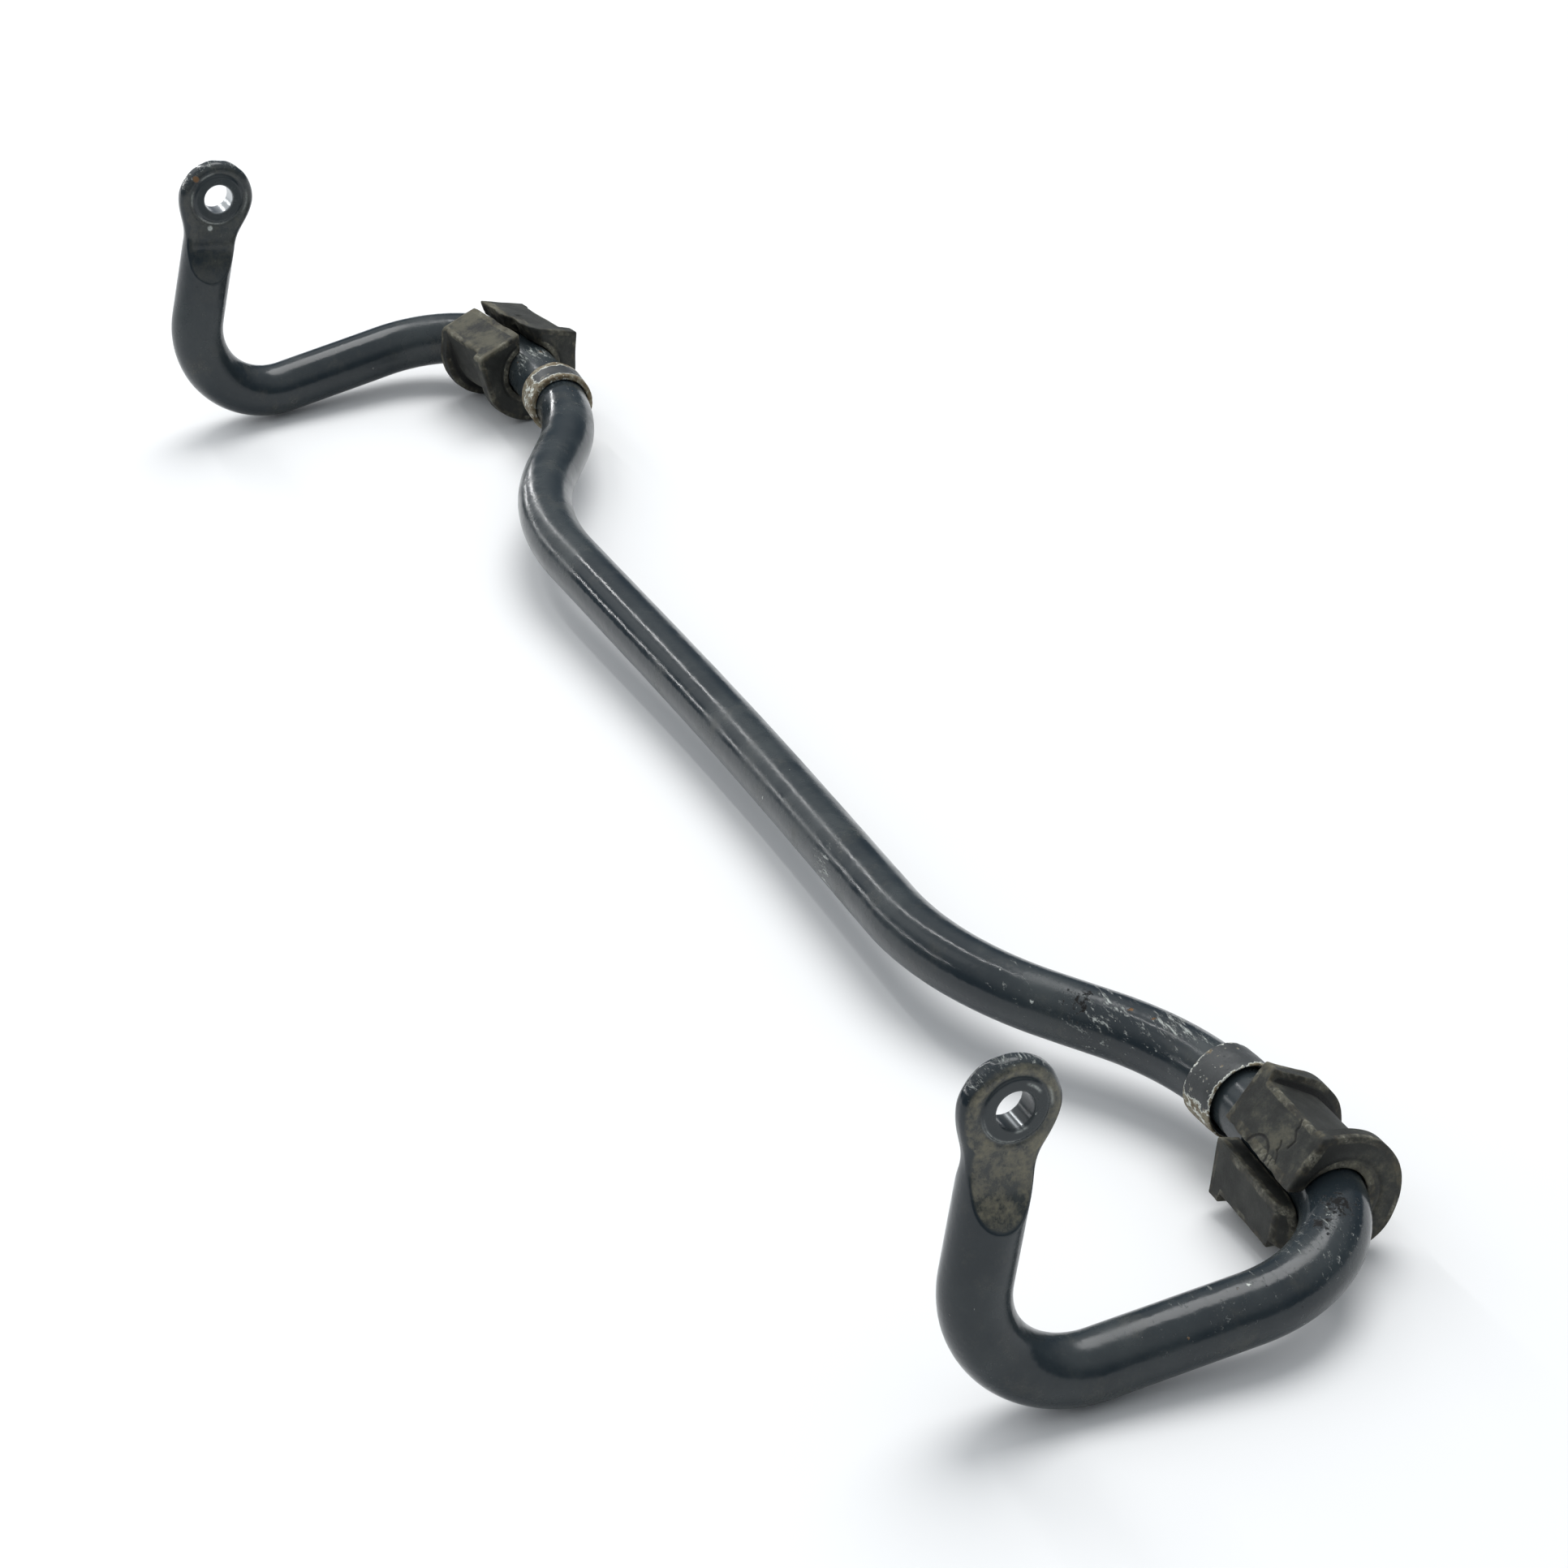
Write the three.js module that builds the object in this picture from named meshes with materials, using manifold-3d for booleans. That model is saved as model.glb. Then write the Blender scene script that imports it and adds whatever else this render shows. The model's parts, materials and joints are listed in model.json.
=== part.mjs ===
// A car's sway bar, off the car: one bent steel bar with a forged eye at each end, two collars
// that stop it shifting sideways, and two split rubber bushes that have crept onto the outer bends.
// Millimetres. +X runs along the bar, the arms point to -Y, +Z is up, and it lies on Z = 0.
import * as THREE from 'three';
import { mergeVertices } from 'three/addons/utils/BufferGeometryUtils.js';
import Module from 'manifold-3d';

const wasm = await Module();
wasm.setup();

// Bar. The corners of the right half's centreline are measured from the seat axis, the straight line
// that both bushes turn about. The left half is its mirror image, but its upright leans a little less.
const BAR_RADIUS = 12;
const BAR_SIDES = 18;
const BAR_STEPS = 144;
const MIDDLE = { at: [0, -48.7, 2.6], radius: 2000 };
const CRANK_FOOT = { at: [209, -54.4, 8.2], radius: 151 };
const CRANK_TOP = { at: [297, 0, 0], radius: 123 };
const ARM_ROOT = { at: [430, 0, 0], radius: 47 };
const ARM_CORNER = { at: [420, -152.2, 0], radius: 35.4 };
const RIGHT_EYE = [419, -116.2, 104.5];
const LEFT_EYE = [-419, -112, 103.2];

// Forged eye at the end of each upright
const EYE_RADIUS = 16.7;
const EYE_WEB = 9;
const EYE_RING_RADIUS = 11;
const EYE_THICKNESS = 10;
const LINK_HOLE_RADIUS = 6.5;
const NECK_HALF_WIDTH = 11;
const NECK_LENGTH = 24;
const PRESSED_FLAT_LENGTH = 19;
const PRESS_RUN_OUT_RADIUS = 30;
const PRESS_RUN_OUT_STEPS = 5;
const EYE_SIDES = 32;

// Collars, one on each crank's end, clear of the bar by the clearance
const COLLAR_PLACE = 323;
const COLLAR_LENGTH = 16.4;
const COLLAR_RADIUS = 14.8;
const COLLAR_CHAMFER = 0.8;
const COLLAR_SIDES = 36;
const CLEARANCE = 0.3;

// Bushes. Angles are round the seat axis, in degrees from +Y towards +Z. Each half has its own
// slanted base; the slit lies between the two bases, and the halves flex apart at the hinge line.
// A half's widths are from its base's middle to its edge: at the inner flange's ear, along the
// waist, and at the outer flange.
const BUSH_LENGTH = 46;
const BUSH_FLANGE_LENGTH = 6.5;
const BUSH_BASE_HEIGHT = 20.5;
const BUSH_FLANGE_RADIUS = 23.5;
const BUSH_WAIST_RADIUS = 18.5;
const FRONT_HALF = { ear: 21.3, waist: 18, tail: 16 };
const REAR_HALF = { ear: 19.7, waist: 14, tail: 15.5 };
const BUSH_BORE_RADIUS = 12.55;
const BUSH_BORE_SIDES = 24;
const BUSH_BORE_STEPS = 26;
const BUSH_TURNS = [-15, 0, 15];
const BUSH_ARC_STEPS = 12;
const RIGHT_BUSH = {
  side: 1, innerEnd: 349, yaw: 0, slit: 156, slitWidth: 7.6, hinge: 336, frontBase: 163.5, rearBase: 132,
};
const LEFT_BUSH = {
  side: -1, innerEnd: -356.5, yaw: 9, slit: 82, slitWidth: 10.5, hinge: 290, frontBase: 102, rearBase: 65,
};

// The bar leans forward until the arms' undersides and the bushes' flanges touch the floor together
const REST_TILT = THREE.MathUtils.degToRad(6.5);

const X_AXIS = new THREE.Vector3(1, 0, 0);

const MATERIALS = {
  enamel: { color: 0x23292d, roughness: 0.35, metalness: 0.2 },
  zinc: { color: 0xa8a69c, roughness: 0.5, metalness: 0.8 },
  rubber: { color: 0x2a2b28, roughness: 0.85, metalness: 0 },
};

// --- Joining and cutting -------------------------------------------------------------------------

function solidFrom(geometry, matrix = new THREE.Matrix4()) {
  const bare = geometry.clone().applyMatrix4(matrix);
  bare.deleteAttribute('normal');
  bare.deleteAttribute('uv');
  const merged = mergeVertices(bare, 1e-4);
  return new wasm.Manifold(new wasm.Mesh({
    numProp: 3,
    vertProperties: new Float32Array(merged.attributes.position.array),
    triVerts: new Uint32Array(merged.index.array),
  }));
}

function geometryFrom(solid) {
  const mesh = solid.getMesh();
  const geometry = new THREE.BufferGeometry();
  geometry.setAttribute('position', new THREE.BufferAttribute(mesh.vertProperties, 3));
  geometry.setIndex(new THREE.BufferAttribute(mesh.triVerts, 1));
  geometry.computeVertexNormals();
  return geometry;
}

function namedMesh(name, geometry, material) {
  const mesh = new THREE.Mesh(geometry, new THREE.MeshStandardMaterial(material));
  mesh.name = name;
  return mesh;
}

// --- Centreline ----------------------------------------------------------------------------------

class BendArc extends THREE.Curve {
  constructor(start, before, after, radius) {
    super();
    this.angle = before.angleTo(after);
    this.before = before;
    this.inward = after.clone().addScaledVector(before, -Math.cos(this.angle)).normalize();
    this.centre = start.clone().addScaledVector(this.inward, radius);
    this.radius = radius;
  }

  getPoint(t, target = new THREE.Vector3()) {
    const turned = t * this.angle;
    return target.copy(this.centre)
      .addScaledVector(this.inward, -this.radius * Math.cos(turned))
      .addScaledVector(this.before, this.radius * Math.sin(turned));
  }
}

function roundedPath(start, bends, end) {
  const path = new THREE.CurvePath();
  path.arcLengthDivisions = 2000;
  let from = new THREE.Vector3(...start);
  bends.forEach((bend, i) => {
    const corner = new THREE.Vector3(...bend.at);
    const next = new THREE.Vector3(...(i + 1 < bends.length ? bends[i + 1].at : end));
    const before = corner.clone().sub(from).normalize();
    const after = next.sub(corner).normalize();
    const run = bend.radius * Math.tan(before.angleTo(after) / 2);
    const arcStart = corner.clone().addScaledVector(before, -run);
    path.add(new THREE.LineCurve3(from, arcStart));
    path.add(new BendArc(arcStart, before, after, bend.radius));
    from = corner.clone().addScaledVector(after, run);
  });
  path.add(new THREE.LineCurve3(from, new THREE.Vector3(...end)));
  return path;
}

function mirrored([x, y, z]) {
  return [-x, y, z];
}

function centreline() {
  const half = [CRANK_FOOT, CRANK_TOP, ARM_ROOT, ARM_CORNER];
  const otherHalf = half.map((bend) => ({ at: mirrored(bend.at), radius: bend.radius })).reverse();
  return roundedPath(LEFT_EYE, [...otherHalf, MIDDLE, ...half], RIGHT_EYE);
}

// The stretch of the right half that a bush can reach, from the seat round the bend into the arm
function seatStretch() {
  const onTheSeat = [COLLAR_PLACE + COLLAR_LENGTH, 0, 0];
  const downTheArm = ARM_ROOT.at.map((value, i) => (value + ARM_CORNER.at[i]) / 2);
  return roundedPath(onTheSeat, [ARM_ROOT], downTheArm);
}

// An arc in a section is drawn with two sides for each of its curve segments
function rodAlong(path, radius, sides, steps) {
  const section = new THREE.Shape().absarc(0, 0, radius, 0, 2 * Math.PI);
  return new THREE.ExtrudeGeometry(section, {
    extrudePath: path, steps, curveSegments: sides / 2, bevelEnabled: false,
  });
}

// --- Sway bar ------------------------------------------------------------------------------------

// Axes at an eye: the section's x is across the bar along X, its y is up the upright, and its z
// is the upright's width
function eyeFrame(eye) {
  const centre = new THREE.Vector3(...eye);
  const upright = centre.clone().sub(new THREE.Vector3(...ARM_CORNER.at)).setX(0).normalize();
  const width = new THREE.Vector3().crossVectors(X_AXIS, upright);
  return new THREE.Matrix4().makeBasis(X_AXIS, upright, width).setPosition(centre);
}

function eyeBody(frame) {
  const neckAngle = Math.acos(NECK_HALF_WIDTH / EYE_RADIUS);
  const outline = new THREE.Shape();
  outline.moveTo(NECK_HALF_WIDTH, -NECK_LENGTH);
  outline.lineTo(NECK_HALF_WIDTH, -EYE_RADIUS * Math.sin(neckAngle));
  outline.absarc(0, 0, EYE_RADIUS, -neckAngle, Math.PI + neckAngle);
  outline.lineTo(-NECK_HALF_WIDTH, -NECK_LENGTH);
  const web = new THREE.ExtrudeGeometry(outline, {
    depth: EYE_WEB, curveSegments: EYE_SIDES / 2, bevelEnabled: false,
  });
  web.translate(0, 0, -EYE_WEB / 2);
  web.rotateY(Math.PI / 2);
  const ring = new THREE.CylinderGeometry(EYE_RING_RADIUS, EYE_RING_RADIUS, EYE_THICKNESS, EYE_SIDES);
  ring.rotateZ(Math.PI / 2);
  return solidFrom(web, frame).add(solidFrom(ring, frame));
}

// What the press takes off one face of the round bar: a flat that runs out in a hollow curve
function pressedAway(frame, face) {
  const flat = EYE_WEB / 2;
  const clear = 2 * EYE_RADIUS;
  const runOutAngle = Math.acos(1 - (BAR_RADIUS + 1 - flat) / PRESS_RUN_OUT_RADIUS);
  const outline = new THREE.Shape();
  outline.moveTo(flat, clear);
  outline.lineTo(flat, -PRESSED_FLAT_LENGTH);
  outline.absarc(
    flat + PRESS_RUN_OUT_RADIUS, -PRESSED_FLAT_LENGTH, PRESS_RUN_OUT_RADIUS, Math.PI, Math.PI + runOutAngle);
  outline.lineTo(clear, -PRESSED_FLAT_LENGTH - PRESS_RUN_OUT_RADIUS * Math.sin(runOutAngle));
  outline.lineTo(clear, clear);
  const block = new THREE.ExtrudeGeometry(outline, {
    depth: 2 * clear, curveSegments: PRESS_RUN_OUT_STEPS, bevelEnabled: false,
  });
  block.translate(0, 0, -clear);
  if (face < 0) block.rotateY(Math.PI);
  return solidFrom(block, frame);
}

function linkHole(frame) {
  const depth = 3 * EYE_THICKNESS;
  const drill = new THREE.CylinderGeometry(LINK_HOLE_RADIUS, LINK_HOLE_RADIUS, depth, EYE_SIDES);
  drill.rotateZ(Math.PI / 2);
  return solidFrom(drill, frame);
}

function swayBar() {
  let bar = solidFrom(rodAlong(centreline(), BAR_RADIUS, BAR_SIDES, BAR_STEPS));
  for (const eye of [LEFT_EYE, RIGHT_EYE]) {
    const frame = eyeFrame(eye);
    for (const face of [-1, 1]) {
      bar = bar.subtract(pressedAway(frame, face));
    }
    bar = bar.add(eyeBody(frame)).subtract(linkHole(frame));
  }
  return namedMesh('sway_bar', geometryFrom(bar), MATERIALS.enamel);
}

// --- Collars -------------------------------------------------------------------------------------

function collar(name, side) {
  const bore = BAR_RADIUS + CLEARANCE + 0.1;
  const end = COLLAR_LENGTH / 2;
  const profile = [
    [bore, -end],
    [COLLAR_RADIUS - COLLAR_CHAMFER, -end],
    [COLLAR_RADIUS, COLLAR_CHAMFER - end],
    [COLLAR_RADIUS, end - COLLAR_CHAMFER],
    [COLLAR_RADIUS - COLLAR_CHAMFER, end],
    [bore + COLLAR_CHAMFER, end],
    [bore, end - COLLAR_CHAMFER],
    [bore, -end],
  ].map(([radius, along]) => new THREE.Vector2(radius, along));
  const ring = new THREE.LatheGeometry(profile, COLLAR_SIDES);
  const path = centreline();
  const place = pathParameterAt(path, COLLAR_PLACE);
  const outward = path.getTangentAt(place);
  const centre = path.getPointAt(place);
  const mesh = namedMesh(name, ring, MATERIALS.zinc);
  mesh.position.set(side * centre.x, centre.y, centre.z);
  outward.x *= side;
  mesh.quaternion.setFromUnitVectors(new THREE.Vector3(0, 1, 0), outward);
  return mesh;
}

// How far along the whole bar its right half reaches a given X before the arm
function pathParameterAt(path, x) {
  let low = 0.5;
  let high = 0.8;
  for (let i = 0; i < 40; i += 1) {
    const middle = (low + high) / 2;
    if (path.getPointAt(middle).x < x) low = middle;
    else high = middle;
  }
  return low;
}

// --- Bushes --------------------------------------------------------------------------------------

// A D section: a flat base at the base height, and sides that run tangent into a round back
function dSection(halfWidth, radius, baseAngle) {
  const cornerAngle = Math.atan2(BUSH_BASE_HEIGHT, halfWidth);
  const cornerReach = Math.hypot(BUSH_BASE_HEIGHT, halfWidth);
  const tangentAngle = cornerAngle - Math.acos(radius / cornerReach);
  const turn = THREE.MathUtils.degToRad(baseAngle - 90);
  const corner = (angle) => [cornerReach * Math.cos(angle + turn), cornerReach * Math.sin(angle + turn)];
  const section = new THREE.Shape();
  section.moveTo(...corner(cornerAngle));
  section.lineTo(...corner(Math.PI - cornerAngle));
  section.absarc(0, 0, radius, Math.PI - tangentAngle + turn, 2 * Math.PI + tangentAngle + turn);
  return section;
}

// From its section's x and y and its own length to Y, Z and X
const ALONG_X = new THREE.Matrix4().makeBasis(
  new THREE.Vector3(0, 1, 0), new THREE.Vector3(0, 0, 1), X_AXIS);

// A section extruded over a stretch that is counted outward from the bush's inner end
function extrudedAlong(bush, section, from, length) {
  const geometry = new THREE.ExtrudeGeometry(section, {
    depth: length, curveSegments: BUSH_ARC_STEPS, bevelEnabled: false,
  });
  geometry.translate(0, 0, bush.innerEnd + (bush.side > 0 ? from : -from - length));
  return solidFrom(geometry, ALONG_X);
}

function dBody(bush, widths, baseAngle) {
  const ear = dSection(widths.ear, BUSH_FLANGE_RADIUS, baseAngle);
  const waist = dSection(widths.waist, BUSH_WAIST_RADIUS, baseAngle);
  const tail = dSection(widths.tail, BUSH_FLANGE_RADIUS, baseAngle);
  return extrudedAlong(bush, waist, 0, BUSH_LENGTH)
    .add(extrudedAlong(bush, ear, 0, BUSH_FLANGE_LENGTH))
    .add(extrudedAlong(bush, tail, BUSH_LENGTH - BUSH_FLANGE_LENGTH, BUSH_FLANGE_LENGTH));
}

// A wedge round the bush's axis between two angles, and a slot that leaves the axis at one angle
const CUT_REACH = 3 * BUSH_FLANGE_RADIUS;

function wedge(bush, fromAngle, toAngle) {
  const steps = Math.ceil((toAngle - fromAngle) / 45);
  const outline = [new THREE.Vector2()];
  for (let i = 0; i <= steps; i += 1) {
    const angle = THREE.MathUtils.degToRad(fromAngle + (toAngle - fromAngle) * i / steps);
    outline.push(new THREE.Vector2(CUT_REACH * Math.cos(angle), CUT_REACH * Math.sin(angle)));
  }
  return extrudedAlong(bush, new THREE.Shape(outline), -1, BUSH_LENGTH + 2);
}

function slot(bush, angle, width) {
  const across = width / 2;
  const corners = [[0, -across], [CUT_REACH, -across], [CUT_REACH, across], [0, across]];
  const outline = corners.map(([x, y]) => (
    new THREE.Vector2(x, y).rotateAround(new THREE.Vector2(), THREE.MathUtils.degToRad(angle))));
  return extrudedAlong(bush, new THREE.Shape(outline), -1, BUSH_LENGTH + 2);
}

// The room the bar needs inside a bush, wherever the bush is turned about the seat axis
function barRoom(side) {
  const rod = rodAlong(seatStretch(), BUSH_BORE_RADIUS, BUSH_BORE_SIDES, BUSH_BORE_STEPS);
  const mirror = new THREE.Matrix4().makeScale(side, 1, 1);
  return BUSH_TURNS.map((turn) => {
    const turned = new THREE.Matrix4().makeRotationX(THREE.MathUtils.degToRad(turn));
    return solidFrom(rod).transform(turned.multiply(mirror).toArray());
  }).reduce((room, next) => room.add(next));
}

function bushHalves(prefix, bush) {
  const yaw = new THREE.Matrix4().makeTranslation(bush.innerEnd, 0, 0)
    .multiply(new THREE.Matrix4().makeRotationZ(THREE.MathUtils.degToRad(bush.yaw)))
    .multiply(new THREE.Matrix4().makeTranslation(-bush.innerEnd, 0, 0));
  const cuts = slot(bush, bush.slit, bush.slitWidth).add(slot(bush, bush.hinge, CLEARANCE));
  const room = barRoom(bush.side);
  const half = (widths, baseAngle, fromAngle, toAngle) => dBody(bush, widths, baseAngle)
    .intersect(wedge(bush, fromAngle, toAngle))
    .subtract(cuts)
    .transform(yaw.toArray())
    .subtract(room);
  const front = half(FRONT_HALF, bush.frontBase, bush.slit, bush.hinge);
  const rear = half(REAR_HALF, bush.rearBase, bush.hinge, bush.slit + 360);
  return [
    namedMesh(`${prefix}_bush_front_half`, geometryFrom(front), MATERIALS.rubber),
    namedMesh(`${prefix}_bush_rear_half`, geometryFrom(rear), MATERIALS.rubber),
  ];
}

// --- Assembly ------------------------------------------------------------------------------------

const leaning = new THREE.Group();
leaning.rotation.x = REST_TILT;
leaning.add(
  swayBar(),
  collar('right_collar', 1),
  collar('left_collar', -1),
  ...bushHalves('right', RIGHT_BUSH),
  ...bushHalves('left', LEFT_BUSH),
);

// The origin is under the middle of the whole assembly's box
const assembly = new THREE.Group();
assembly.add(leaning);
assembly.updateMatrixWorld(true);
const box = new THREE.Box3().setFromObject(assembly, true);
const middle = box.getCenter(new THREE.Vector3());
leaning.position.set(-middle.x, -middle.y, -box.min.z);

export default assembly;
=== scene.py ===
"""A used sway bar on a pale floor: a steel bar, two collars and two split rubber bushes."""
import json
import math

import bmesh
import bpy
import numpy as np
from mathutils import Matrix, Vector


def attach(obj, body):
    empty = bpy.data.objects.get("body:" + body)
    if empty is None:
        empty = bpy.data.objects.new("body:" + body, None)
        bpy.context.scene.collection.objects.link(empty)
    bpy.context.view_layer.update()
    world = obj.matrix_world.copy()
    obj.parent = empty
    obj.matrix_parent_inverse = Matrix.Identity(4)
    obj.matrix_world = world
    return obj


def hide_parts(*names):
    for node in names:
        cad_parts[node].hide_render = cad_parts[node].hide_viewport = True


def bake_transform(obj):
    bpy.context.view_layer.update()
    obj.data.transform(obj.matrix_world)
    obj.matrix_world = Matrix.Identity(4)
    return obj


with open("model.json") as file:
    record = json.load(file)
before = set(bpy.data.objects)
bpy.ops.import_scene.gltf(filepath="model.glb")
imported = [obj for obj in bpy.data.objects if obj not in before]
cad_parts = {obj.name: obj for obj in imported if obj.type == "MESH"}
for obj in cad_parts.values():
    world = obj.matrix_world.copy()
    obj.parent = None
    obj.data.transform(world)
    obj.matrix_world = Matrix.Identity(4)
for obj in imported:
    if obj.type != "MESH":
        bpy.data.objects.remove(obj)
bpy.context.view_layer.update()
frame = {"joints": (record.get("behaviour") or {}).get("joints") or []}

# Shapes are worked out in millimetres about the bar's seat axis: x along the bar, the arms towards
# -y. The whole object leans by the rest tilt, and the first joint says where the seat axis is.
MM = 0.001
REST_TILT = math.radians(6.5)
SEAT_PLACE = Vector((0, *frame["joints"][0]["pos_m"][1:]))
SEAT_TO_FRAME = (
    Matrix.Translation(SEAT_PLACE) @ Matrix.Rotation(REST_TILT, 4, "X") @ Matrix.Scale(MM, 4)
)

# Bar: corners of the right half's centreline and their bend radii
BAR_RADIUS = 11.8
MIDDLE = ((0, -48.7, 2.6), 2000)
CRANK_FOOT = ((209, -54.4, 8.2), 151)
CRANK_TOP = ((297, 0, 0), 123)
ARM_ROOT = ((430, 0, 0), 47)
ARM_CORNER = ((420, -152.1, 0), 35.9)
RIGHT_EYE = (419, -116.2, 104.5)
LEFT_EYE = (-419, -112, 103.2)
RING_POINTS = 72
RING_SPACING = 2

# Forged eye. It is meshed together with the stump of its upright. A cell is the mesh's spacing.
EYE_RADIUS = 16.6
EYE_HALF_WEB = 4.5
EYE_FILLET = 9
EYE_RING_RADIUS = 11
EYE_RING_RISE = 0.5
EYE_GROOVE_DEPTH = 0.35
EYE_RIM_ROUNDING = 3.8
WEB_EDGE_ROUNDING = 0.5
LINK_HOLE_RADIUS = 6.5
LINK_HOLE_ROUNDING = 0.7
PRESSED_FLAT_LENGTH = 19
PRESS_RUN_OUT_RADIUS = 30
EYE_STUMP = 46
EYE_CELL = 0.42

# Collar
COLLAR_PLACE = 323
COLLAR_LENGTH = 16.4
COLLAR_RADIUS = 14.8
COLLAR_BORE = 12.25
COLLAR_ROUNDING = 0.9
COUNTERSINK_DEPTH = 3
COUNTERSINK_WIDTH = 1.7
COLLAR_CELL = 0.34

# Bush
BUSH_LENGTH = 46
BUSH_FLANGE = 6.5
BUSH_BASE = 20.4
BUSH_FLANGE_RADIUS = 23.4
BUSH_WAIST_RADIUS = 18.5
BUSH_BORE = 12.2
BUSH_REACH = 29.5
BUSH_SEAM = -1.7
BUSH_ROUNDING = 0.8
BUSH_END_ROUNDING = 0.7
BUSH_BORE_ROUNDING = 0.5
END_GROOVE_RADIUS = 15.2
END_GROOVE_DEPTH = 0.45
MOULD_RING_RADIUS = 6.2
BUSH_TURN = math.radians(15)
BUSH_CELL = 0.4


# --- Placing --------------------------------------------------------------------------------------

def unit(vector):
    return vector / np.linalg.norm(vector)


def mirrored(point):
    return (-point[0], point[1], point[2])


def turned(points, angle):
    """Points turned about the x axis by an angle, or by an angle each."""
    y, z = points[..., 1], points[..., 2]
    cos, sin = np.cos(angle), np.sin(angle)
    return np.stack([points[..., 0], y * cos - z * sin, y * sin + z * cos], -1)


def direction(degrees):
    """The y and z of a direction round the seat axis."""
    return np.array([math.cos(math.radians(degrees)), math.sin(math.radians(degrees))])


# --- Centreline -----------------------------------------------------------------------------------

def rounded_path(start, bends, end, spacing):
    """Points every so often along straight runs joined by arcs."""
    points = [np.array(start, float)]
    here = points[0]
    for i, (corner, radius) in enumerate(bends):
        corner = np.array(corner, float)
        following = np.array(bends[i + 1][0] if i + 1 < len(bends) else end, float)
        before, after = unit(corner - here), unit(following - corner)
        angle = math.acos(np.clip(before @ after, -1, 1))
        run = radius * math.tan(angle / 2)
        arc_start = corner - before * run
        inward = unit(after - before * math.cos(angle))
        centre = arc_start + inward * radius
        straight = max(1, round(np.linalg.norm(arc_start - here) / spacing))
        for k in range(1, straight + 1):
            points.append(here + (arc_start - here) * k / straight)
        steps = max(2, round(radius * angle / spacing))
        for k in range(1, steps + 1):
            part = angle * k / steps
            points.append(centre + radius * (before * math.sin(part) - inward * math.cos(part)))
        here = points[-1]
    last = max(1, round(np.linalg.norm(np.array(end) - here) / spacing))
    for k in range(1, last + 1):
        points.append(here + (np.array(end, float) - here) * k / last)
    return np.array(points)


RIGHT_BENDS = [CRANK_FOOT, CRANK_TOP, ARM_ROOT, ARM_CORNER]
LEFT_BENDS = [(mirrored(corner), radius) for corner, radius in reversed(RIGHT_BENDS)]
ALL_BENDS = [*LEFT_BENDS, MIDDLE, *RIGHT_BENDS]


# --- Fields: signed distances in millimetres, negative inside -------------------------------------

def meet(a, b, rounding):
    """What is inside both, with a rounded edge between them."""
    corner = np.hypot(np.maximum(a + rounding, 0), np.maximum(b + rounding, 0))
    return np.minimum(np.maximum(a, b), -rounding) + corner


def merge(a, b, fillet):
    """What is inside either, with a fillet between them."""
    overlap = np.maximum(fillet - np.abs(a - b), 0) / fillet
    return np.minimum(a, b) - overlap ** 2 * fillet / 4


def step(value, low, high):
    """0 below low, 1 above high, smooth between."""
    part = np.clip((value - low) / (high - low), 0, 1)
    return part * part * (3 - 2 * part)


def bump(value, width):
    return np.exp(-(value / width) ** 2)


def lumps(points, size, seed):
    """A gentle unevenness from -1 to 1, with lumps of about the given size.

    It adds up crossed waves in odd directions, which the seed picks, so that it doesn't repeat."""
    sin, cos = math.sin, math.cos
    total = np.zeros(points.shape[:-1])
    for k in range(3):
        turn = seed + 2.4 * k
        along = np.array([cos(turn), sin(turn) * cos(3.1 * turn), sin(5.3 * turn)])
        across = np.array([sin(1.7 * turn), cos(2.9 * turn), cos(1.3 * turn)])
        first = np.sin(points @ along * 2.2 / size + turn)
        total += first * np.sin(points @ across * 2.9 / size - turn)
    return total / 2


def near_line(points, route):
    """Distance to a line through a few points."""
    distance = np.full(points.shape[:-1], np.inf)
    for start, end in zip(np.array(route[:-1], float), np.array(route[1:], float)):
        run = end - start
        part = np.clip(((points - start) @ run) / (run @ run), 0, 1)
        away = np.linalg.norm(points - start - part[..., None] * run, axis=-1)
        distance = np.minimum(distance, away)
    return distance


def off_seat_path(points):
    """Distance to the centreline of the right half, from the seat round the bend into the arm."""
    corner, radius = np.array(ARM_ROOT[0], float), ARM_ROOT[1]
    after = unit(np.array(ARM_CORNER[0], float) - corner)
    angle = math.acos(after[0])
    run = radius * math.tan(angle / 2)
    centre = corner + np.array([-run, -radius, 0])
    x, y = points[..., 0] - centre[0], points[..., 1] - centre[1]
    on_seat = points[..., 1]
    on_bend = np.hypot(x, y) - radius
    past = x * after[0] + y * after[1]
    on_arm = x * -after[1] + y * after[0] - radius
    sideways = np.where(x < 0, on_seat, np.where(past > 0, on_arm, on_bend))
    return np.hypot(sideways, points[..., 2])


# --- Meshes from fields ---------------------------------------------------------------------------

SURFACE_PASSES = 4    # steps that draw the grid's points onto the surface


def slope(field, points, reach=0.02):
    """A field's value and gradient at points."""
    here = field(points)
    parts = [field(points + reach * axis) - here for axis in np.eye(3)]
    return here, np.stack(parts, -1) / reach


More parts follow.
